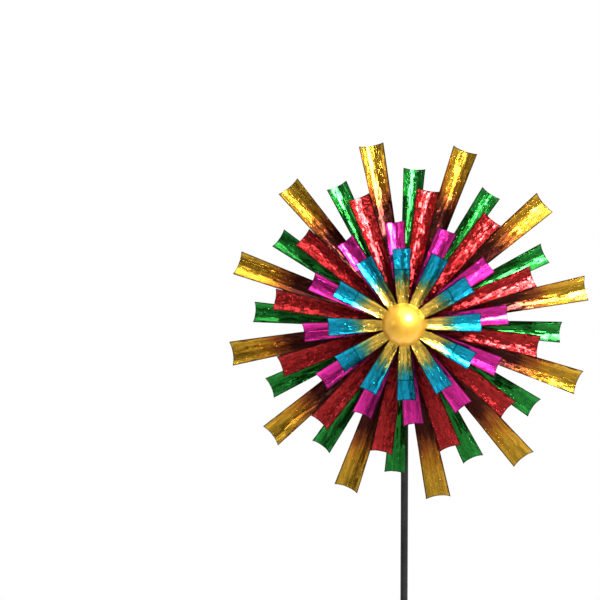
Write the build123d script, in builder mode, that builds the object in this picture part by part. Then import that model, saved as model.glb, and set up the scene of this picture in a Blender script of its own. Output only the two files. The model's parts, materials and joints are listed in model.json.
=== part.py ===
from build123d import *
import os
from math import acos, asin, cos, degrees, radians, sin

# Wind spinner on a garden stake. Two wheels of coloured trough-shaped blades turn separately
# on one level axle, and the axle's socket turns on a round pole with a two-pronged foot.
#
# Millimetres, +Z up. The origin is on the pole's axis at the ground line, where the step bar
# leaves the pole. The wheels face -Y, and the side prong stands towards -X.
# "Forward" distances are measured from the pole's axis towards -Y.
# Clock angles are seen from the front: 0 is at the top, and they grow clockwise.

# ---- stand -------------------------------------------------------------------------------
axle_height = 1340.0          # axle above the ground line
stake_depth = 185.0           # spike tips below the ground line
pole_diameter = 12.7
pole_wall = 1.2
pole_section_count = 3
swage_length = 45.0           # reduced end that the next section slides over
swage_shoulder = 3.0          # cone between the full and the reduced diameter
swage_clearance = 0.1         # radial, reduced end in the next tube
spike_length = 56.0           # bare spike below the tube
spike_plug_length = 35.0      # spike's plug inside the tube
spike_root_radius = 4.7
spike_tip_radius = 0.8
tube_end_chamfer = 1.0
prong_diameter = 6.35
prong_offset = 109.0          # side prong's axis from the pole's axis
step_bar_drop = 9.5           # the bar falls this much from the pole to the bend
prong_bend_radius = 9.0
prong_taper_length = 34.0
weld_width = 2.4
weld_chamfer = 1.9

# ---- socket on the pole -------------------------------------------------------------------
socket_wall = 2.2
socket_clearance = 0.08       # radial running clearance on the pole
socket_above_axle = 17.0      # top of the pole above the axle
socket_below_axle = 40.0
socket_cap_thickness = 3.0
socket_cap_lip = 1.0
boss_diameter = 15.0
boss_forward = 20.0           # front face of the axle boss
screw_diameter = 5.0
screw_below_axle = 27.0
screw_head_diameter = 13.0
screw_head_thickness = 4.0
screw_head_notches = 8        # finger notches round the head
screw_notch_radius = 1.1
screw_stem = 6.0              # bare thread between the socket and the head
screw_gap = 0.15              # screw's end to the pole, backed off
screw_boss_diameter = 10.0
screw_boss_height = 2.5

# ---- axle, bearings and hubs --------------------------------------------------------------
axle_diameter = 8.0
axle_seat = 12.0              # length of axle held in the boss
axle_end_chamfer = 0.8
bearing_outer_diameter = 22.0
bearing_width = 7.0
bearing_ring_clearance = 0.05
inner_ring_radius = 6.0
outer_ring_inner_radius = 9.4
ball_radius = 1.55
ball_count = 7
spacer_diameter = 11.0
hub_wall = 2.0
hub_end_lip = 1.0             # hub stands this far past its bearings
hub_shoulder = 1.4            # ridge between the two bearings
rear_hub_back = 63.0          # forward distance of the rear hub's back end
rear_hub_length = 26.0
front_hub_back = 92.0
front_hub_length = 26.0
front_hub_nose = 4.0          # extra length at the front that carries the dome's clip
washer_diameter = 16.0
washer_thickness = 1.2
nut_across_flats = 13.0
nut_height = 6.5
axle_end_stub = 2.5           # thread showing past the nut

# ---- blades, shared -----------------------------------------------------------------------
sheet = 0.8                   # blade thickness
plate_thickness = 1.2
plate_radius = 34.0
tab_inner_radius = 19.0
tab_inner_width = 9.0
tab_outer_width = 17.0
bend_radius_from_axle = 35.0  # where the flat tab turns into the trough
neck_length = 12.0
root_trough_depth = 3.6
rivet_circle = 27.5
rivet_shank_radius = 1.6
rivet_hole_clearance = 0.05
rivet_head_radius = 2.6
rivet_head_height = 1.3
rivet_tail_height = 1.0
blade_pitch = 6.0             # blades are set at this angle to the wheel's plane

# ---- dome ---------------------------------------------------------------------------------
dome_radius = 34.8
dome_height = 25.7
dome_wall = 0.9
dome_gap = 0.3                # dome's rim to the rivet heads under it
clip_thickness = 1.0
clip_notches = 6              # leave as many spring fingers between them
clip_notch_depth = 0.6        # share of the clip from its rim to the hub
clip_notch_width = 0.5        # share of the clip's radius


class Ring:
    """One ring of blades; plate_front is the forward distance of the front of its plate."""

    def __init__(self, count, first_angle, tip_radius, root_width, tip_width, tip_depth,
                 lean, pitch, plate_front, tabs_in_front=True):
        self.count = count
        self.first_angle = first_angle
        self.tip_radius = tip_radius
        self.root_width = root_width
        self.tip_width = tip_width
        self.tip_depth = tip_depth
        self.lean = lean
        self.pitch = pitch
        self.plate_front = plate_front
        self.tabs_in_front = tabs_in_front
        self.plate_back = plate_front - plate_thickness
        self.tab_back = plate_front if tabs_in_front else self.plate_back - sheet
        self.angles = [first_angle + number * 360.0 / count for number in range(count)]


gold = Ring(12, 19.0, 304.0, 20.5, 41.0, 9.0, 10.1, blade_pitch, 71.2)
green = Ring(12, 3.3, 257.0, 18.5, 35.5, 8.0, 11.4, blade_pitch, 77.4)
red = Ring(12, 9.7, 223.0, 18.5, 36.0, 8.0, 11.5, blade_pitch, 86.6)
magenta = Ring(12, 24.6, 167.0, 20.5, 33.0, 7.0, 11.0, -blade_pitch, 108.2)
teal = Ring(12, 28.0, 123.0, 20.5, 30.5, 6.0, 3.0, -blade_pitch, 116.0, tabs_in_front=False)
short = Ring(6, 58.0, 89.5, 20.5, 26.0, 5.0, -4.0, -blade_pitch, teal.plate_front)

# ---- derived ------------------------------------------------------------------------------
pole_radius = pole_diameter / 2
pole_bore = pole_radius - pole_wall
tube_bottom = spike_length - stake_depth
pole_top = axle_height + socket_above_axle
section_length = (pole_top - tube_bottom) / pole_section_count
swage_radius = pole_bore - swage_clearance
prong_radius = prong_diameter / 2
saddle_height = 6 * prong_diameter  # of the cut that fits the bar and its weld to the pole
socket_bore = pole_radius + socket_clearance
socket_radius = socket_bore + socket_wall
axle_radius = axle_diameter / 2
bearing_radius = bearing_outer_diameter / 2
hub_bore = bearing_radius + bearing_ring_clearance
hub_radius = hub_bore + hub_wall
bearing_mid_radius = (inner_ring_radius + outer_ring_inner_radius) / 2
rear_bearing_backs = [rear_hub_back + hub_end_lip,
                      rear_hub_back + rear_hub_length - hub_end_lip - bearing_width]
front_bearing_backs = [front_hub_back + hub_end_lip,
                       front_hub_back + front_hub_length - hub_end_lip - bearing_width]
stack_front = front_bearing_backs[1] + bearing_width
nut_front = stack_front + washer_thickness + nut_height
dome_rim = short.tab_back + sheet + rivet_head_height + dome_gap

os.makedirs("parts", exist_ok=True)


def facing(forward):
    """Plane across the axle at a forward distance: its normal is -Y and its y axis is up."""
    return Plane(origin=(0, -forward, axle_height), x_dir=(1, 0, 0), z_dir=(0, -1, 0))


def rings_on_axle(outer_radius, bore_radius, backs, length):
    """Plain rings round the axle, one for each forward distance in backs."""
    with BuildPart() as rings:
        for back in backs:
            with BuildSketch(facing(back)):
                Circle(outer_radius)
                Circle(bore_radius, mode=Mode.SUBTRACT)
            extrude(amount=length)
    return rings.part


def pole_tube(bottom, with_swage):
    """One pole section; a swaged one ends in a reduced length that the next slides over."""
    top = bottom + section_length
    neck = top + swage_shoulder
    inner = swage_radius - pole_wall
    with BuildPart() as tube:
        with BuildSketch(Plane.XZ):
            with BuildLine():
                if with_swage:
                    Polyline((pole_bore, bottom), (pole_radius, bottom), (pole_radius, top),
                             (swage_radius, top), (swage_radius, top + swage_length),
                             (inner, top + swage_length), (inner, top - swage_shoulder),
                             (pole_bore, top - 2 * swage_shoulder), close=True)
                else:
                    Polyline((pole_bore, bottom), (pole_radius, bottom), (pole_radius, top),
                             (pole_bore, top), close=True)
            make_face()
        revolve(axis=Axis.Z)
    return tube.part


# ---- stand --------------------------------------------------------------------------------
with BuildPart() as ground_spike:
    with BuildSketch(Plane.XZ):
        with BuildLine():
            Polyline((0, -stake_depth), (spike_tip_radius, -stake_depth),
                     (spike_root_radius, tube_bottom), (swage_radius, tube_bottom),
                     (swage_radius, tube_bottom + spike_plug_length),
                     (0, tube_bottom + spike_plug_length), close=True)
        make_face()
    revolve(axis=Axis.Z)
ground_spike.part.label = "ground_spike"
export_step(ground_spike.part, "parts/ground_spike.step")

prong_top = -step_bar_drop
prong_tip = -stake_depth
prong_taper_top = prong_tip + prong_taper_length
bar_start = Plane(origin=(-pole_bore, 0, 0), z_dir=(pole_bore - prong_offset, 0, prong_top))
with BuildPart() as step_bar:
    with BuildLine():
        FilletPolyline((-pole_bore, 0, 0), (-prong_offset, 0, prong_top),
                       (-prong_offset, 0, prong_taper_top), radius=prong_bend_radius)
    with BuildSketch(bar_start):
        Circle(prong_radius)
    sweep()
    with BuildSketch(Plane.XY.offset(prong_taper_top)):
        with Locations((-prong_offset, 0)):
            Circle(prong_radius)
    with BuildSketch(Plane.XY.offset(prong_tip)):
        with Locations((-prong_offset, 0)):
            Circle(spike_tip_radius)
    loft(ruled=True)
    Cylinder(pole_radius, saddle_height, mode=Mode.SUBTRACT)
step_bar.part.label = "step_bar"
export_step(step_bar.part, "parts/step_bar.step")

with BuildPart() as step_bar_weld:
    with BuildSketch(bar_start.offset(pole_wall - weld_width)):
        Circle(prong_radius + weld_width)
        Circle(prong_radius, mode=Mode.SUBTRACT)
    extrude(amount=2 * weld_width)
    chamfer(step_bar_weld.faces().sort_by(Axis.X)[0].outer_wire().edges(), weld_chamfer)
    Cylinder(pole_radius, saddle_height, mode=Mode.SUBTRACT)
step_bar_weld.part.label = "step_bar_weld"
export_step(step_bar_weld.part, "parts/step_bar_weld.step")

lower_pole = pole_tube(tube_bottom, with_swage=True)
lower_pole = chamfer(lower_pole.edges().group_by(Axis.Z)[0].sort_by(SortBy.RADIUS)[-1:],
                     tube_end_chamfer)
lower_pole.label = "lower_pole"
export_step(lower_pole, "parts/lower_pole.step")

middle_pole = pole_tube(tube_bottom + section_length, with_swage=True)
middle_pole.label = "middle_pole"
export_step(middle_pole, "parts/middle_pole.step")

upper_pole = pole_tube(tube_bottom + 2 * section_length, with_swage=False)
upper_pole.label = "upper_pole"
export_step(upper_pole, "parts/upper_pole.step")

# ---- socket, axle and what is clamped on it -------------------------------------------------
socket_bottom = axle_height - socket_below_axle
screw_height = axle_height - screw_below_axle
screw_boss_end = socket_radius + screw_boss_height
with BuildPart() as head_socket:
    with BuildSketch(Plane.XY.offset(socket_bottom)):
        Circle(socket_radius)
    extrude(amount=pole_top - socket_bottom)
    with BuildSketch(facing(0)):
        Circle(boss_diameter / 2)
    extrude(amount=boss_forward)
    with BuildSketch(Plane(origin=(0, 0, screw_height), x_dir=(1, 0, 0), z_dir=(0, 1, 0))):
        Circle(screw_boss_diameter / 2)
    extrude(amount=screw_boss_end)
    with Locations((0, 0, axle_height)):
        Cylinder(socket_bore, 2 * (socket_below_axle + socket_above_axle), mode=Mode.SUBTRACT)
    with BuildSketch(facing(boss_forward - axle_seat)):
        Circle(axle_radius)
    extrude(amount=axle_seat, mode=Mode.SUBTRACT)
    with BuildSketch(Plane(origin=(0, 0, screw_height), x_dir=(1, 0, 0), z_dir=(0, 1, 0))):
        Circle(screw_diameter / 2)
    extrude(amount=screw_boss_end, mode=Mode.SUBTRACT)
head_socket.part.label = "head_socket"
export_step(head_socket.part, "parts/head_socket.step")

with BuildPart() as socket_cap:
    with BuildSketch(Plane.XY.offset(pole_top)):
        Circle(socket_radius + socket_cap_lip)
    extrude(amount=socket_cap_thickness)
    fillet(socket_cap.edges().group_by(Axis.Z)[-1], socket_cap_thickness / 2)
socket_cap.part.label = "socket_cap"
export_step(socket_cap.part, "parts/socket_cap.step")

screw_end = pole_radius + screw_gap
screw_head_back = screw_boss_end + screw_stem
with BuildPart() as thumb_screw:
    with BuildSketch(Plane(origin=(0, screw_end, screw_height), x_dir=(1, 0, 0),
                           z_dir=(0, 1, 0))):
        Circle(screw_diameter / 2)
    extrude(amount=screw_head_back - screw_end)
    with BuildSketch(Plane(origin=(0, screw_head_back, screw_height), x_dir=(1, 0, 0),
                           z_dir=(0, 1, 0))):
        Circle(screw_head_diameter / 2)
        with PolarLocations(screw_head_diameter / 2, screw_head_notches):
            Circle(screw_notch_radius, mode=Mode.SUBTRACT)
    extrude(amount=screw_head_thickness)
thumb_screw.part.label = "thumb_screw"
export_step(thumb_screw.part, "parts/thumb_screw.step")

axle_front = nut_front + axle_end_stub
with BuildPart() as axle:
    with BuildSketch(facing(boss_forward - axle_seat)):
        Circle(axle_radius)
    extrude(amount=axle_front - boss_forward + axle_seat)
    chamfer(axle.edges().sort_by(Axis.Y)[0], axle_end_chamfer)
axle.part.label = "axle"
export_step(axle.part, "parts/axle.step")

spacers = {
    "rear_spacer": (boss_forward, rear_bearing_backs[0]),
    "rear_hub_spacer": (rear_bearing_backs[0] + bearing_width, rear_bearing_backs[1]),
    "middle_spacer": (rear_bearing_backs[1] + bearing_width, front_bearing_backs[0]),
    "front_hub_spacer": (front_bearing_backs[0] + bearing_width, front_bearing_backs[1]),
}
for name, (back, front) in spacers.items():
    spacer = rings_on_axle(spacer_diameter / 2, axle_radius, [back], front - back)
    spacer.label = name
    export_step(spacer, f"parts/{name}.step")

bearing_backs = rear_bearing_backs + front_bearing_backs
inner_rings = rings_on_axle(inner_ring_radius, axle_radius, bearing_backs, bearing_width)
inner_rings.label = "bearing_inner_rings"
export_step(inner_rings, "parts/bearing_inner_rings.step")

axle_washer = rings_on_axle(washer_diameter / 2, axle_radius, [stack_front], washer_thickness)
axle_washer.label = "axle_washer"
export_step(axle_washer, "parts/axle_washer.step")

with BuildPart() as axle_nut:
    with BuildSketch(facing(stack_front + washer_thickness)):
        RegularPolygon(nut_across_flats / 2, 6, major_radius=False)
        Circle(axle_radius, mode=Mode.SUBTRACT)
    extrude(amount=nut_height)
axle_nut.part.label = "axle_nut"
export_step(axle_nut.part, "parts/axle_nut.step")

# ---- hubs and bearings ----------------------------------------------------------------------
hubs = {
    "rear": (rear_bearing_backs, rear_hub_back, rear_hub_length),
    "front": (front_bearing_backs, front_hub_back, front_hub_length + front_hub_nose),
}
for wheel, (backs, hub_back, hub_length) in hubs.items():
    with BuildPart() as hub:
        with BuildSketch(facing(hub_back)):
            Circle(hub_radius)
            Circle(hub_bore, mode=Mode.SUBTRACT)
        extrude(amount=hub_length)
        with BuildSketch(facing(backs[0] + bearing_width)):
            Circle(hub_bore)
            Circle(hub_bore - hub_shoulder, mode=Mode.SUBTRACT)
        extrude(amount=backs[1] - backs[0] - bearing_width)
    hub.part.label = f"{wheel}_hub"
    export_step(hub.part, f"parts/{wheel}_hub.step")

    outer_rings = rings_on_axle(bearing_radius, outer_ring_inner_radius, backs, bearing_width)
    outer_rings.label = f"{wheel}_bearing_outer_rings"
    export_step(outer_rings, f"parts/{wheel}_bearing_outer_rings.step")

    with BuildPart() as balls:
        for back in backs:
            with Locations(facing(back + bearing_width / 2)):
                with PolarLocations(bearing_mid_radius, ball_count):
                    Sphere(ball_radius)
    balls.part.label = f"{wheel}_bearing_balls"
    export_step(balls.part, f"parts/{wheel}_bearing_balls.step")


# ---- blades -----------------------------------------------------------------------------------
def trough_section(plane, width, depth):
    """A thin arc across the blade, hollow side to the front; the plane's y axis points back."""
    radius = (width**2 / 4 + depth**2) / (2 * depth)
    half = asin(width / 2 / radius)
    centre = depth / 2 - radius
    outer = radius + sheet
    with BuildSketch(plane) as section:
        with BuildLine():
            ThreePointArc((-radius * sin(half), centre + radius * cos(half)),
                          (0, centre + radius),
                          (radius * sin(half), centre + radius * cos(half)))
            Line((radius * sin(half), centre + radius * cos(half)),
                 (outer * sin(half), centre + outer * cos(half)))
            ThreePointArc((outer * sin(half), centre + outer * cos(half)),
                          (0, centre + outer),
                          (-outer * sin(half), centre + outer * cos(half)))
            Line((-outer * sin(half), centre + outer * cos(half)),
                 (-radius * sin(half), centre + radius * cos(half)))
        make_face()
    return section


def blade_at_top(ring):
    """One blade at 12 o'clock on an axle through the origin: flat tab, neck and trough."""
    bend = Vector(0, -ring.tab_back - sheet / 2, bend_radius_from_axle)
    along = Vector(0, sin(radians(ring.lean)), cos(radians(ring.lean)))
    length = (ring.tip_radius - bend_radius_from_axle) / along.Z
    with BuildPart() as blade:
        with BuildSketch(Plane.XZ.offset(ring.tab_back)):
            with BuildLine():
                Polyline((-tab_inner_width / 2, tab_inner_radius),
                         (tab_inner_width / 2, tab_inner_radius),
                         (tab_outer_width / 2, bend_radius_from_axle),
                         (-tab_outer_width / 2, bend_radius_from_axle), close=True)
            make_face()
            with Locations((0, rivet_circle)):
                Circle(rivet_shank_radius + rivet_hole_clearance, mode=Mode.SUBTRACT)
        extrude(amount=sheet)
        with BuildSketch(Plane(origin=bend, x_dir=(1, 0, 0), z_dir=(0, 0, 1))) as tab_end:
            Rectangle(tab_outer_width, sheet)
        neck_plane = Plane(origin=bend + along * neck_length, x_dir=(1, 0, 0), z_dir=along)
        neck = trough_section(neck_plane.rotated((0, 0, ring.pitch / 2)),
                              ring.root_width, root_trough_depth)
        loft(sections=[tab_end.sketch, neck.sketch], ruled=True)
        tip_plane = Plane(origin=bend + along * length, x_dir=(1, 0, 0), z_dir=along)
        tip = trough_section(tip_plane.rotated((0, 0, ring.pitch)),
                             ring.tip_width, ring.tip_depth)
        loft(sections=[neck.sketch, tip.sketch], ruled=True)
    return blade.part


def blades_on_wheel(ring, angles):
    """Copies of a ring's blade at the given clock angles, at the height of the axle."""
    pattern = blade_at_top(ring)
    with BuildPart() as blades:
        with Locations(*[Location((0, 0, axle_height), (0, angle, 0)) for angle in angles]):
            add(pattern)
    return blades.part


for number, angle in enumerate(gold.angles, start=1):
    gold_blade = blades_on_wheel(gold, [angle])
    gold_blade.label = f"gold_blade_{number:02d}"
    export_step(gold_blade, f"parts/gold_blade_{number:02d}.step")

for number, angle in enumerate(short.angles, start=1):
    short_blade = blades_on_wheel(short, [angle])
    short_blade.label = f"short_blade_{number:02d}"
    export_step(short_blade, f"parts/short_blade_{number:02d}.step")

for name, ring in {"green": green, "red": red, "magenta": magenta, "teal": teal}.items():
    blades = blades_on_wheel(ring, ring.angles)
    blades.label = f"{name}_blades"
    export_step(blades, f"parts/{name}_blades.step")

# ---- plates and rivets --------------------------------------------------------------------------
for name, ring in {"gold": gold, "green": green, "red": red, "magenta": magenta,
                   "front": teal}.items():
    with BuildPart() as plate:
        with BuildSketch(facing(ring.plate_back)):
            Circle(plate_radius)
            Circle(hub_radius, mode=Mode.SUBTRACT)
            with PolarLocations(rivet_circle, ring.count, start_angle=90 - ring.first_angle):
                Circle(rivet_shank_radius + rivet_hole_clearance, mode=Mode.SUBTRACT)
        extrude(amount=plate_thickness)
    plate.part.label = f"{name}_plate"
    export_step(plate.part, f"parts/{name}_plate.step")


def rivets(back, front, angles):
    """Rivets through sheets between two forward distances: flat tail behind, domed head."""
    head_ball = (rivet_head_radius**2 + rivet_head_height**2) / (2 * rivet_head_height)
    head_angle = asin(rivet_head_radius / head_ball) / 2
    crown = -front - rivet_head_height
    with BuildPart() as rivet:
        with BuildSketch(Plane.YZ):
            with BuildLine():
                Polyline((-back + rivet_tail_height, 0),
                         (-back + rivet_tail_height, rivet_head_radius),
                         (-back, rivet_head_radius), (-back, rivet_shank_radius),
                         (-front, rivet_shank_radius), (-front, rivet_head_radius))
                ThreePointArc((-front, rivet_head_radius),
                              (crown + head_ball * (1 - cos(head_angle)),
                               head_ball * sin(head_angle)),
                              (crown, 0))
                Line((crown, 0), (-back + rivet_tail_height, 0))
            make_face()
        revolve(axis=Axis.Y)
    with BuildPart() as group:
        with Locations(*[Location((0, 0, axle_height), (0, angle, 0)) for angle in angles]):
            with Locations((0, 0, rivet_circle)):
                add(rivet.part)
    return group.part


single_teal = [angle for angle in teal.angles if angle % 360 not in
               [other % 360 for other in short.angles]]
rivet_groups = {
    "gold_rivets": [(gold.plate_back, gold.tab_back + sheet, gold.angles)],
    "green_rivets": [(green.plate_back, green.tab_back + sheet, green.angles)],
    "red_rivets": [(red.plate_back, red.tab_back + sheet, red.angles)],
    "magenta_rivets": [(magenta.plate_back, magenta.tab_back + sheet, magenta.angles)],
    "front_rivets": [(teal.tab_back, teal.plate_front, single_teal),
                     (teal.tab_back, short.tab_back + sheet, short.angles)],
}
for name, groups in rivet_groups.items():
    with BuildPart() as rivet_group:
        for back, front, angles in groups:
            add(rivets(back, front, angles))
    rivet_group.part.label = name
    export_step(rivet_group.part, f"parts/{name}.step")

# ---- dome ---------------------------------------------------------------------------------------
ball = (dome_radius**2 + dome_height**2) / (2 * dome_height)
inner_radius = dome_radius - dome_wall
inner_height = dome_height - dome_wall
inner_ball = (inner_radius**2 + inner_height**2) / (2 * inner_height)


def dome_side(ball_radius, height):
    """The point halfway along a dome's outline, measured from the middle of its rim."""
    half_reach = acos((ball_radius - height) / ball_radius) / 2
    return (ball_radius * sin(half_reach), ball_radius * (1 - cos(half_reach)) - height)


with BuildPart() as dome_cap:
    with BuildSketch(Plane(origin=(0, -dome_rim, axle_height), x_dir=(1, 0, 0), z_dir=(0, 0, 1))):
        with BuildLine():
            Line((inner_radius, 0), (dome_radius, 0))
            ThreePointArc((dome_radius, 0), dome_side(ball, dome_height), (0, -dome_height))
            Line((0, -dome_height), (0, -inner_height))
            ThreePointArc((0, -inner_height), dome_side(inner_ball, inner_height),
                          (inner_radius, 0))
        make_face()
    revolve(axis=Axis((0, 0, axle_height), (0, 1, 0)))
dome_cap.part.label = "dome_cap"
export_step(dome_cap.part, "parts/dome_cap.step")

clip_front = front_hub_back + front_hub_length + front_hub_nose
clip_depth = clip_front - dome_rim
clip_radius = (inner_ball**2 - (clip_depth - inner_height + inner_ball)**2) ** 0.5
with BuildPart() as dome_clip:
    with BuildSketch(facing(clip_front - clip_thickness)):
        Circle(clip_radius)
        Circle(hub_radius, mode=Mode.SUBTRACT)
        with PolarLocations(clip_radius, clip_notches):
            Rectangle(2 * clip_notch_depth * (clip_radius - hub_radius),
                      clip_notch_width * clip_radius, mode=Mode.SUBTRACT)
    extrude(amount=clip_thickness)
dome_clip.part.label = "dome_clip"
export_step(dome_clip.part, "parts/dome_clip.step")
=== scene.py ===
import json
import math

import bmesh
import bpy
from mathutils import Matrix, Vector, noise


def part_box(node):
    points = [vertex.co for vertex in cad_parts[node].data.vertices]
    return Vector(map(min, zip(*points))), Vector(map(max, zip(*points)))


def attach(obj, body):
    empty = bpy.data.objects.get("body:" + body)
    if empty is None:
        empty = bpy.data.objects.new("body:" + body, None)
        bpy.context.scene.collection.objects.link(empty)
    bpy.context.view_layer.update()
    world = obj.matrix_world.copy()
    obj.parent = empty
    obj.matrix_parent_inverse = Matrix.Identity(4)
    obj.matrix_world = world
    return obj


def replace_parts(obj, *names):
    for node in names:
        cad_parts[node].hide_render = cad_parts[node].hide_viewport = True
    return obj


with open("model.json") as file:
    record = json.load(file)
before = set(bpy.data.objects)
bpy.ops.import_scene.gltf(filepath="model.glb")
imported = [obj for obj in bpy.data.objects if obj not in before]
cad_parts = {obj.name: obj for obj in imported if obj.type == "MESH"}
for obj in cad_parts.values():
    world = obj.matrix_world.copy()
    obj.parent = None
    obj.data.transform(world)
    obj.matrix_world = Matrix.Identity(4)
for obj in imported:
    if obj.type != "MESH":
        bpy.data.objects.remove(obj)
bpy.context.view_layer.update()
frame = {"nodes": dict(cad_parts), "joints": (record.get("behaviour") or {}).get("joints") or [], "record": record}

# ---- places read from the frame --------------------------------------------------------------
MM = 0.001
spin = next(j for j in frame["joints"] if j["name"] == "front_wheel_spin")
AXLE = spin["pos_m"][2]
BENCH = Vector(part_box("ground_spike")[0]).z
DOME_LOW, DOME_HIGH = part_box("dome_cap")
DOME_RADIUS = (DOME_HIGH.x - DOME_LOW.x) / 2
SHEET = 0.8 * MM            # thickness of a blade
DOME_WALL = 0.9 * MM


# ---- shader expressions ----------------------------------------------------------------------
class Value:
    """A node socket that can be added, multiplied and divided like a number."""

    def __init__(self, recipe, socket):
        self.recipe = recipe
        self.socket = socket

    def math(self, operation, *others):
        return self.recipe.node("ShaderNodeMath", {"operation": operation},
                                {n: v for n, v in enumerate((self, *others))})

    def __add__(self, other):
        return self.math("ADD", other)

    __radd__ = __add__

    def __mul__(self, other):
        return self.math("MULTIPLY", other)

    __rmul__ = __mul__

    def __sub__(self, other):
        return self.math("SUBTRACT", other)

    def __rsub__(self, other):
        return (self * -1.0).math("ADD", other)

    def __truediv__(self, other):
        return self.math("DIVIDE", other)

    def __pow__(self, other):
        return self.math("POWER", other)

    def smooth(self, low, high):
        """0 below low, 1 above high, and a soft step between."""
        return self.recipe.node("ShaderNodeMapRange", {"interpolation_type": "SMOOTHSTEP"},
                                {"Value": self, "From Min": low, "From Max": high})


class Recipe:
    """The node tree of one finish."""

    def __init__(self, tree):
        self.tree = tree

    def node(self, kind, settings=None, inputs=None, output=0):
        """A new node with its settings and the values or links of its sockets."""
        made = self.tree.nodes.new(kind)
        for name, value in (settings or {}).items():
            if name == "stops":
                ramp = made.color_ramp
                while len(ramp.elements) < len(value):
                    ramp.elements.new(0.5)
                for element, (place, colour) in zip(ramp.elements, value):
                    element.position = place
                    element.color = (*colour, 1.0)
            else:
                setattr(made, name, value)
        for name, value in (inputs or {}).items():
            socket = made.inputs[name]
            if isinstance(value, Value):
                self.tree.links.new(value.socket, socket)
            elif hasattr(socket.default_value, "__len__") and len(value) == 3 \
                    and len(socket.default_value) == 4:
                socket.default_value = (*value, 1.0)
            else:
                socket.default_value = value
        return Value(self, made.outputs[output])

    def parts(self, vector):
        """The three parts of a vector or colour."""
        split = self.node("ShaderNodeSeparateXYZ", {}, {0: vector}).socket.node
        return [Value(self, socket) for socket in split.outputs]

    def mix(self, factor, first, second):
        """Colour mix from first to second."""
        return self.node("ShaderNodeMix", {"data_type": "RGBA"},
                         {0: factor, 6: first, 7: second}, output=2)

    def tint(self, colour, amount):
        """Colour multiplied by a grey amount."""
        grey = self.node("ShaderNodeCombineColor", {}, {0: amount, 1: amount, 2: amount})
        return self.node("ShaderNodeMix", {"data_type": "RGBA", "blend_type": "MULTIPLY"},
                         {0: 1.0, 6: colour, 7: grey}, output=2)


def finish(name, constants):
    """A new material and its recipe; constants are set on the shader's own sockets."""
    material = bpy.data.materials.new(name)
    material.use_nodes = True
    shader = material.node_tree.nodes["Principled BSDF"]
    for socket, value in constants.items():
        shader.inputs[socket].default_value = value
    return material, Recipe(material.node_tree), shader


def feed(recipe, shader, **links):
    """Links expressions to the shader's sockets, whose names are written with underscores."""
    for socket, value in links.items():
        recipe.tree.links.new(value.socket, shader.inputs[socket.replace("_", " ")])


def object_place(recipe):
    """The place on the piece, in metres."""
    return recipe.node("ShaderNodeTexCoord", output="Object")


BLADE_ROUGHNESS = 0.13
BLADE_BUMP = 0.0007         # metres of relief for a height of 1
COLOUR_WANDER = 0.05        # metres by which the edges of the colour bands wander
BLADE_SEED = 7.31           # keeps the texture of one blade apart from the next


def lacquered_blade(name, stops, first_radius, last_radius, fleck, tilt):
    """Transparent coloured lacquer over bright sheet with a pressed streak texture.

    The sheet's own map gives the distance across the blade and the distance from the axle,
    in metres; the colour stops run from first_radius to last_radius. A fleck is the width
    and length of a facet in millimetres, and tilt is how strongly the facets lean.
    """
    material, r, shader = finish(name, {"Metallic": 0.98, "Coat Weight": 0.06,
                                        "Coat Roughness": 0.05})
    across, along = r.parts(r.node("ShaderNodeUVMap", {"uv_map": "sheet"}))[:2]
    blade = r.node("ShaderNodeAttribute", {"attribute_name": "blade"}, output="Fac")
    rim = r.node("ShaderNodeAttribute", {"attribute_name": "rim"}, output="Fac")

    def stretched(width, length):
        """Sheet coordinates in which a unit cell is width by length millimetres."""
        return r.node("ShaderNodeCombineXYZ", {}, {0: across / (width * MM),
                                                   1: along / (length * MM),
                                                   2: blade * BLADE_SEED})

    def facets(width, length, across_tilt, along_tilt):
        """Height of small flat facets, each tilted its own way, and a tone for each."""
        place = stretched(width, length)
        settings = {"distance": "CHEBYCHEV"}
        inputs = {"Vector": place, "Scale": 1.0, "Randomness": 0.6}
        here = r.parts(place)
        heart = r.parts(r.node("ShaderNodeTexVoronoi", settings, inputs, output="Position"))
        tone = r.parts(r.node("ShaderNodeTexVoronoi", settings, inputs, output="Color"))
        height = ((here[0] - heart[0]) * (tone[0] - 0.5) * across_tilt
                  + (here[1] - heart[1]) * (tone[1] - 0.5) * along_tilt)
        return height, tone[2]

    def cloud(width, length, detail=3.0):
        return r.node("ShaderNodeTexNoise", {}, {"Vector": stretched(width, length),
                                                 "Scale": 1.0, "Detail": detail})

    wander = cloud(5, 34) - 0.5
    place = (along + wander * COLOUR_WANDER - first_radius) / (last_radius - first_radius)
    colour = r.node("ShaderNodeValToRGB", {"stops": stops}, {0: place})

    large, large_tone = facets(*fleck, 1.4 * tilt, 1.6 * tilt)
    small, small_tone = facets(fleck[0] * 0.5, fleck[1] * 0.35, 0.16 * tilt, 0.14 * tilt)
    streak = cloud(0.9, 24, 4.0)
    ripple = cloud(5.5, 44, 1.0)
    pit = r.node("ShaderNodeTexVoronoi", {}, {"Vector": stretched(6, 8), "Scale": 1.0})
    # dimple is 0 at the middle of each pit and 1 around it; it lowers the height there.
    dimple = pit.smooth(0.05, 0.20)

    pressed_tone = (0.78 + (large_tone - 0.5) * 0.30 + (small_tone - 0.5) * 0.22
                    + (streak - 0.5) * 0.45)
    # Painted shade: the colour darkens by up to 0.88 along the blade's edges and at its tip, drawing them as dark
    # outlines.
    painted_edge_shade = 1.0 - rim.smooth(0.86, 0.98) * 0.88
    # The colour drops to 0.35 in the middle of each pit: painted shade in the dimples.
    tone = pressed_tone * (0.35 + 0.65 * dimple) * painted_edge_shade
    height = large + small + ripple * 1.1 + streak * 0.25 + dimple * 0.12
    bump = r.node("ShaderNodeBump", {}, {"Strength": 1.0, "Distance": BLADE_BUMP,
                                         "Height": height})
    feed(r, shader, Base_Color=r.tint(colour, tone), Normal=bump,
         Roughness=BLADE_ROUGHNESS + (streak - 0.4) * 0.16 + small_tone * 0.08)
    return material


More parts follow.
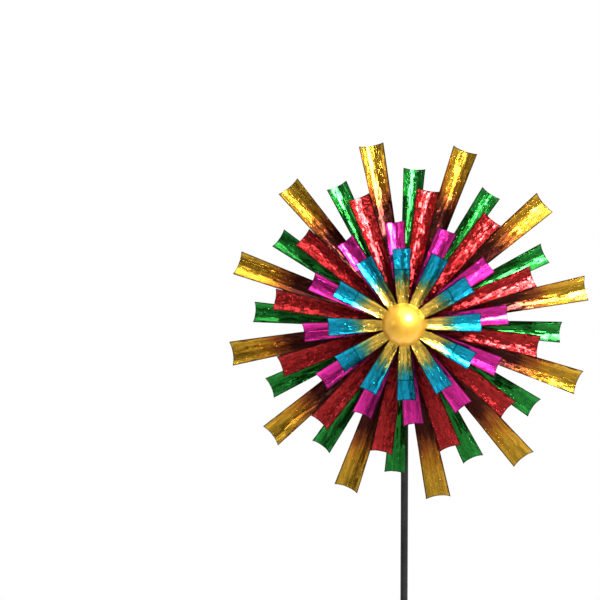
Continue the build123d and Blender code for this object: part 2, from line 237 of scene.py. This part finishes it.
def black_enamel():
    """Smooth dark enamel with a faint orange peel and a little dust."""
    material, r, shader = finish("black enamel", {"Metallic": 0.0, "Specular IOR Level": 0.14})
    place = object_place(r)
    orange_peel = r.node("ShaderNodeTexNoise", {}, {"Vector": place, "Scale": 420.0,
                                                    "Detail": 2.0})
    dust = r.node("ShaderNodeTexNoise", {}, {"Vector": place, "Scale": 22.0, "Detail": 6.0})
    colour = r.mix(dust.smooth(0.35, 0.75), (0.006, 0.006, 0.007), (0.014, 0.013, 0.012))
    bump = r.node("ShaderNodeBump", {}, {"Strength": 0.15, "Distance": 0.0004,
                                         "Height": orange_peel})
    feed(r, shader, Base_Color=colour, Roughness=0.26 + dust * 0.16, Normal=bump)
    return material


def plated_steel(name, light, dark, roughness):
    """Clouded metal plate with a fine grain."""
    material, r, shader = finish(name, {"Metallic": 1.0})
    place = object_place(r)
    cloud = r.node("ShaderNodeTexNoise", {}, {"Vector": place, "Scale": 160.0, "Detail": 5.0})
    grain = r.node("ShaderNodeTexNoise", {}, {"Vector": place, "Scale": 1500.0})
    bump = r.node("ShaderNodeBump", {}, {"Strength": 0.2, "Distance": 0.0002,
                                         "Height": grain})
    feed(r, shader, Base_Color=r.mix(cloud.smooth(0.3, 0.7), light, dark),
         Roughness=roughness + cloud * 0.15, Normal=bump)
    return material


def satin_gold():
    """Gold enamel with fine metal flakes under a soft clear coat."""
    material, r, shader = finish("satin gold enamel", {"Metallic": 0.8, "Coat Weight": 0.9,
                                                       "Coat Roughness": 0.32})
    place = object_place(r)
    cloud = r.node("ShaderNodeTexNoise", {}, {"Vector": place, "Scale": 60.0, "Detail": 5.0})
    flake = r.node("ShaderNodeTexVoronoi", {}, {"Vector": place, "Scale": 2600.0})
    colour = r.mix(cloud.smooth(0.3, 0.7), (0.84, 0.46, 0.030), (0.74, 0.38, 0.020))
    bump = r.node("ShaderNodeBump", {}, {"Strength": 0.12, "Distance": 0.0002,
                                         "Height": flake})
    feed(r, shader, Base_Color=colour, Roughness=0.38 + cloud * 0.08, Normal=bump)
    return material


GOLD = (0.74, 0.39, 0.032)
DULL_GOLD = (0.70, 0.40, 0.03)
AMBER = (0.66, 0.28, 0.02)
COPPER = (0.40, 0.10, 0.020)
UMBER = (0.070, 0.012, 0.008)
DEEP_UMBER = (0.035, 0.007, 0.006)
ROOT_GOLD = (0.95, 0.61, 0.09)
finishes = {
    "gold_to_umber": lacquered_blade(
        "gold to umber lacquer",
        [(0.0, DEEP_UMBER), (0.58, UMBER), (0.68, COPPER), (0.76, AMBER), (0.84, GOLD),
         (1.0, DULL_GOLD)],
        0.04, 0.305, fleck=(4.0, 26.0), tilt=1.3),
    "emerald": lacquered_blade(
        "emerald lacquer",
        # Darkest at the root: painted shade where these blades lie under the rings in front.
        [(0.0, (0.004, 0.06, 0.016)), (0.5, (0.020, 0.25, 0.034)), (1.0, (0.026, 0.31, 0.045))],
        0.04, 0.26, fleck=(4.2, 20.0), tilt=1.3),
    "ruby": lacquered_blade(
        "ruby lacquer",
        # Darkest at the root: painted shade where these blades lie under the rings in front.
        [(0.0, (0.06, 0.003, 0.004)), (0.45, (0.42, 0.018, 0.020)), (1.0, (0.54, 0.030, 0.030))],
        0.04, 0.22, fleck=(2.8, 8.5), tilt=1.5),
    "magenta": lacquered_blade(
        "magenta lacquer",
        # Darkest at the root: painted shade where these blades lie under the rings in front.
        [(0.0, (0.14, 0.004, 0.05)), (0.45, (0.72, 0.022, 0.28)), (1.0, (0.90, 0.035, 0.42))],
        0.04, 0.17, fleck=(4.0, 26.0), tilt=0.6),
    "gold_to_teal": lacquered_blade(
        "gold to teal lacquer",
        [(0.0, ROOT_GOLD), (0.24, ROOT_GOLD), (0.42, (0.14, 0.36, 0.16)),
         (0.55, (0.008, 0.36, 0.48)), (1.0, (0.010, 0.41, 0.68))],
        0.035, 0.123, fleck=(4.0, 16.0), tilt=0.7),
    "black_enamel": black_enamel(),
    "zinc_steel": plated_steel("zinc plate", (0.66, 0.66, 0.63), (0.48, 0.48, 0.46), 0.28),
    "bearing_steel": plated_steel("ground steel", (0.72, 0.72, 0.74), (0.60, 0.60, 0.62), 0.16),
    "hub_bronze": plated_steel("bronze enamel", (0.45, 0.28, 0.08), (0.30, 0.17, 0.05), 0.34),
    "gold_paint": satin_gold(),
}
for part in frame["record"]["subparts"]:
    node = frame["nodes"][part["node"]]
    node.data.materials.clear()
    node.data.materials.append(finishes[part["material_slot"]])


# ---- blades ----------------------------------------------------------------------------------
class Ring:
    """The shape of one ring of blades, given in millimetres and degrees, as in its CAD nodes."""

    def __init__(self, name, nodes, body, slot, angles, *, tip_radius, root_width, tip_width,
                 tip_depth, lean, pitch, tab_forward, facet):
        self.name = name
        self.nodes = nodes
        self.body = body
        self.slot = slot
        self.angles = angles
        self.tip_radius = tip_radius * MM
        self.root_width = root_width * MM
        self.tip_width = tip_width * MM
        self.tip_depth = tip_depth * MM
        self.lean = math.radians(lean)
        self.pitch = math.radians(pitch)
        self.tab_forward = tab_forward * MM
        self.facet_width, self.facet_length, self.facet_depth = (size * MM for size in facet)


def clock(first, count):
    """Clock angles in degrees, evenly spaced from the first."""
    return [first + number * 360 / count for number in range(count)]


TAB_INNER, TAB_OUTER = 19.0 * MM, 35.0 * MM
TAB_INNER_WIDTH, TAB_OUTER_WIDTH = 9.0 * MM, 17.0 * MM
NECK = 12.0 * MM            # length in which the flat tab turns into the trough
ROOT_DEPTH = 3.6 * MM
ROOT_TWIST = 0.5            # share of the pitch that a blade has at its root
PITCH = 6.0
RINGS = [
    Ring("gold", [f"gold_blade_{n:02d}" for n in range(1, 13)], "rear_wheel", "gold_to_umber",
         clock(19.0, 12), tip_radius=304.0, root_width=20.5, tip_width=41.0, tip_depth=9.0,
         lean=10.1, pitch=PITCH, tab_forward=71.6, facet=(7.0, 34.0, 0.50)),
    Ring("green", ["green_blades"], "rear_wheel", "emerald",
         clock(3.3, 12), tip_radius=257.0, root_width=18.5, tip_width=35.5, tip_depth=8.0,
         lean=11.4, pitch=PITCH, tab_forward=77.8, facet=(6.5, 26.0, 0.55)),
    Ring("red", ["red_blades"], "rear_wheel", "ruby",
         clock(9.7, 12), tip_radius=223.0, root_width=18.5, tip_width=36.0, tip_depth=8.0,
         lean=11.5, pitch=PITCH, tab_forward=87.0, facet=(5.0, 11.0, 0.60)),
    Ring("magenta", ["magenta_blades"], "front_wheel", "magenta",
         clock(24.6, 12), tip_radius=167.0, root_width=20.5, tip_width=33.0, tip_depth=7.0,
         lean=11.0, pitch=-PITCH, tab_forward=108.6, facet=(8.0, 30.0, 0.40)),
    Ring("teal", ["teal_blades"], "front_wheel", "gold_to_teal",
         clock(28.0, 12), tip_radius=123.0, root_width=20.5, tip_width=30.5, tip_depth=6.0,
         lean=3.0, pitch=-PITCH, tab_forward=114.4, facet=(7.0, 22.0, 0.45)),
    Ring("short", [f"short_blade_{n:02d}" for n in range(1, 7)], "front_wheel", "gold_to_teal",
         clock(58.0, 6), tip_radius=89.5, root_width=20.5, tip_width=26.0, tip_depth=5.0,
         lean=-4.0, pitch=-PITCH, tab_forward=116.4, facet=(7.0, 22.0, 0.45)),
]
CELL = 2.2 * MM             # length of a mesh cell along a blade
COLUMNS = 20                # mesh cells across a blade
RIM_WIDTH = 16 * MM         # the rim attribute grows from 0 to 1 over this length at the tip
DENT_WIDTH, DENT_LENGTH, DENT_DEPTH = 8 * MM, 55 * MM, 0.40 * MM
SCATTER = (13.7, 29.3)      # turn the place of a facet into two unlike random numbers
SMOOTH_ANGLE = math.radians(40)


def trough(ring, share):
    """Width, depth and twist of the trough at a share of the blade's length."""
    width = ring.root_width + (ring.tip_width - ring.root_width) * share
    depth = ROOT_DEPTH + (ring.tip_depth - ROOT_DEPTH) * share
    twist = ring.pitch * (ROOT_TWIST + (1 - ROOT_TWIST) * share)
    return width, depth, twist


def pressed(ring, x, run, seed):
    """Depth of the pressed pattern: long dents, and flat facets that each tilt their own way."""
    dent = noise.noise(Vector((x / DENT_WIDTH, run / DENT_LENGTH, seed)))
    place = Vector((x / ring.facet_width, run / ring.facet_length, seed))
    heart = noise.voronoi(place, distance_metric="CHEBYCHEV")[1][0]
    chance = Vector((*(noise.cell(heart * turn) for turn in SCATTER), 0))
    tilt = (place - heart).dot(chance - Vector((0.5, 0.5, 0)))
    return dent * DENT_DEPTH + tilt * ring.facet_depth


def blade_point(ring, side, run, seed):
    """A point on a 12 o'clock blade: side runs -1 to 1 across, run is the length from the tab."""
    bend = Vector((0, -ring.tab_forward, TAB_OUTER))
    outwards = Vector((0, math.sin(ring.lean), math.cos(ring.lean)))
    backwards = Vector((0, math.cos(ring.lean), -math.sin(ring.lean)))
    full = (ring.tip_radius - TAB_OUTER) / outwards.z
    if run <= 0:
        share = 1 + run / (TAB_OUTER - TAB_INNER)
        half = (TAB_INNER_WIDTH + (TAB_OUTER_WIDTH - TAB_INNER_WIDTH) * share) / 2
        return Vector((side * half, bend.y, bend.z + run))
    form = min(1.0, run / NECK)
    share = max(0.0, (run - NECK) / (full - NECK))
    width, depth, twist = trough(ring, share)
    radius = (width**2 / 4 + depth**2) / (2 * depth)
    arc = math.asin(width / 2 / radius) * side
    trough_x, trough_y = radius * math.sin(arc), depth / 2 - radius + radius * math.cos(arc)
    flat_x = side * TAB_OUTER_WIDTH / 2
    x = flat_x + (trough_x - flat_x) * form
    y = trough_y * form
    turned_x = x * math.cos(twist * form) - y * math.sin(twist * form)
    turned_y = x * math.sin(twist * form) + y * math.cos(twist * form)
    turned_y += pressed(ring, x, run, seed) * form
    return bend + outwards * run + backwards * turned_y + Vector((turned_x, 0, 0))


def make_blades(ring, name, angles, first_number):
    """One piece holding the blades at the given clock angles."""
    mesh = bmesh.new()
    sheet_map = mesh.loops.layers.uv.new("sheet")
    blade_number = mesh.verts.layers.float.new("blade")
    rim = mesh.verts.layers.float.new("rim")
    full = (ring.tip_radius - TAB_OUTER) / math.cos(ring.lean)
    length = full + TAB_OUTER - TAB_INNER
    rows = round(length / CELL)
    for order, angle in enumerate(angles):
        seed = (first_number + order) * 3.7 + ring.tip_radius * 100
        grid = bmesh.ops.create_grid(mesh, x_segments=COLUMNS, y_segments=rows, size=1.0)
        turn = Matrix.Translation((0, 0, AXLE)) @ Matrix.Rotation(math.radians(angle), 4, "Y")
        for vert in grid["verts"]:
            side = vert.co.x
            run = (vert.co.y + 1) / 2 * length - (TAB_OUTER - TAB_INNER)
            vert[blade_number] = first_number + order
            vert[rim] = max(abs(side), 1 - (full - run) / RIM_WIDTH)
            local = blade_point(ring, side, run, seed)
            for loop in vert.link_loops:
                loop[sheet_map].uv = (local.x, local.z)
            vert.co = turn @ local
    bmesh.ops.recalc_face_normals(mesh, faces=mesh.faces)
    bmesh.ops.solidify(mesh, geom=mesh.faces[:], thickness=SHEET)
    bmesh.ops.recalc_face_normals(mesh, faces=mesh.faces)
    return settle(mesh, name, ring.slot, ring.body)


def settle(mesh, name, slot, body):
    """Turns a finished bmesh into a piece that rides on its body."""
    data = bpy.data.meshes.new(name)
    for face in mesh.faces:
        face.smooth = True
    mesh.to_mesh(data)
    mesh.free()
    data.set_sharp_from_angle(angle=SMOOTH_ANGLE)
    piece = bpy.data.objects.new(name, data)
    bpy.context.scene.collection.objects.link(piece)
    data.materials.append(finishes[slot])
    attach(piece, body)
    return piece


for ring in RINGS:
    if len(ring.nodes) == 1:
        piece = make_blades(ring, f"{ring.name}_blades_formed", ring.angles, 1)
        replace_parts(piece, ring.nodes[0])
    else:
        for number, (node, angle) in enumerate(zip(ring.nodes, ring.angles), start=1):
            piece = make_blades(ring, f"{node}_formed", [angle], number)
            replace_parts(piece, node)


# ---- dome ------------------------------------------------------------------------------------
DOME_ROWS = 28              # mesh cells from the dome's middle to its rim
DOME_COLUMNS = 96           # mesh cells round it
MERGE = 0.001 * MM


def make_dome():
    """Spun cap: a shallow arc turned about the axle."""
    height = DOME_HIGH.y - DOME_LOW.y
    ball = (DOME_RADIUS**2 + height**2) / (2 * height)
    reach = math.asin(DOME_RADIUS / ball)
    mesh = bmesh.new()
    outline = []
    for step in range(DOME_ROWS + 1):
        angle = reach * step / DOME_ROWS
        depth = ball * (1 - math.cos(angle))
        outline.append(mesh.verts.new((ball * math.sin(angle), DOME_LOW.y + depth, AXLE)))
    edges = [mesh.edges.new(pair) for pair in zip(outline, outline[1:])]
    bmesh.ops.spin(mesh, geom=outline + edges, cent=(0, 0, AXLE), axis=(0, 1, 0),
                   angle=2 * math.pi, steps=DOME_COLUMNS, use_merge=True)
    bmesh.ops.remove_doubles(mesh, verts=mesh.verts, dist=MERGE)
    bmesh.ops.recalc_face_normals(mesh, faces=mesh.faces)
    bmesh.ops.solidify(mesh, geom=mesh.faces[:], thickness=DOME_WALL)
    bmesh.ops.recalc_face_normals(mesh, faces=mesh.faces)
    return settle(mesh, "dome_cap_spun", "gold_paint", "front_wheel")


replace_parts(make_dome(), "dome_cap")


# ---- floor, light and camera -----------------------------------------------------------------
FLOOR_RADIUS = 2.4
FLOOR_FADE = (1.2, 2.35)    # the floor is whole inside the first radius, gone at the second


def make_floor():
    """White floor that fades into the backdrop."""
    mesh = bmesh.new()
    bmesh.ops.create_circle(mesh, cap_ends=True, segments=128, radius=FLOOR_RADIUS)
    data = bpy.data.meshes.new("floor")
    mesh.to_mesh(data)
    mesh.free()
    floor = bpy.data.objects.new("floor", data)
    floor.location.z = BENCH
    bpy.context.scene.collection.objects.link(floor)
    material, r, shader = finish("floor", {"Base Color": (0.86, 0.86, 0.86, 1), "Roughness": 0.7})
    reach = r.node("ShaderNodeVectorMath", {"operation": "LENGTH"}, {0: object_place(r)},
                   output="Value")
    clear = r.node("ShaderNodeBsdfTransparent")
    mixed = r.node("ShaderNodeMixShader", {}, {0: reach.smooth(*FLOOR_FADE)})
    tree = material.node_tree
    tree.links.new(shader.outputs[0], mixed.socket.node.inputs[1])
    tree.links.new(clear.socket, mixed.socket.node.inputs[2])
    tree.links.new(mixed.socket, tree.nodes["Material Output"].inputs["Surface"])
    data.materials.append(material)
    floor.visible_glossy = False


ROOM_DIM, ROOM_BRIGHT = 0.07, 0.88  # light from the front, and what is added behind
PANELS = [                  # direction, inner and outer half angle in degrees, brightness
    ((0.50, -0.55, 0.68), 5, 80, 0.55),
    ((0.0, -1.0, -0.05), 8, 36, 0.50),
    ((0.1, -0.25, -1.0), 15, 75, 0.72),
    ((0.42, -0.75, 0.62), 10, 13, 75.0),
    ((-0.1, -0.35, 1.0), 12, 22, 3.0),
    ((-0.80, -0.55, 0.15), 5, 9, 4.0),
]


def make_studio():
    """White backdrop; the reflections see a room with soft panels and one bright lamp."""
    world = bpy.data.worlds.new("studio")
    bpy.context.scene.world = world
    world.use_nodes = True
    tree = world.node_tree
    r = Recipe(tree)
    way = r.node("ShaderNodeTexCoord", output="Generated")

    def panel(direction, inner, outer, power):
        aim = Vector(direction).normalized()
        facing = r.node("ShaderNodeVectorMath", {"operation": "DOT_PRODUCT"},
                        {0: way, 1: tuple(aim)}, output="Value")
        low, high = (math.cos(math.radians(half)) for half in (outer, inner))
        return facing.smooth(low, high) * power

    backwards = r.parts(way)[1]
    room = ROOM_DIM + backwards.smooth(-0.55, 0.10) * ROOM_BRIGHT
    for light in PANELS:
        room = room + panel(*light)
    ray = r.node("ShaderNodeLightPath", output="Is Camera Ray")
    strength = room + ray * (1.0 - room)
    background = tree.nodes["Background"]
    background.inputs["Color"].default_value = (1, 1, 1, 1)
    tree.links.new(strength.socket, background.inputs["Strength"])


LENS, SENSOR = 60.0, 36.0   # millimetres of the camera itself
CAMERA_PLACE = (0.03, -1.728, AXLE + 0.10)
CAMERA_AIM = Vector((-0.1218, 0.9918, -0.0375))


def make_camera():
    """Camera in front of the wheel, a little above the axle, aimed past the dome's left."""
    data = bpy.data.cameras.new("camera")
    data.lens = LENS
    data.sensor_width = SENSOR
    camera = bpy.data.objects.new("camera", data)
    bpy.context.scene.collection.objects.link(camera)
    camera.location = CAMERA_PLACE
    camera.rotation_euler = CAMERA_AIM.to_track_quat("-Z", "Y").to_euler()
    bpy.context.scene.camera = camera


make_floor()
make_studio()
make_camera()
bpy.context.scene.view_settings.view_transform = "Standard"
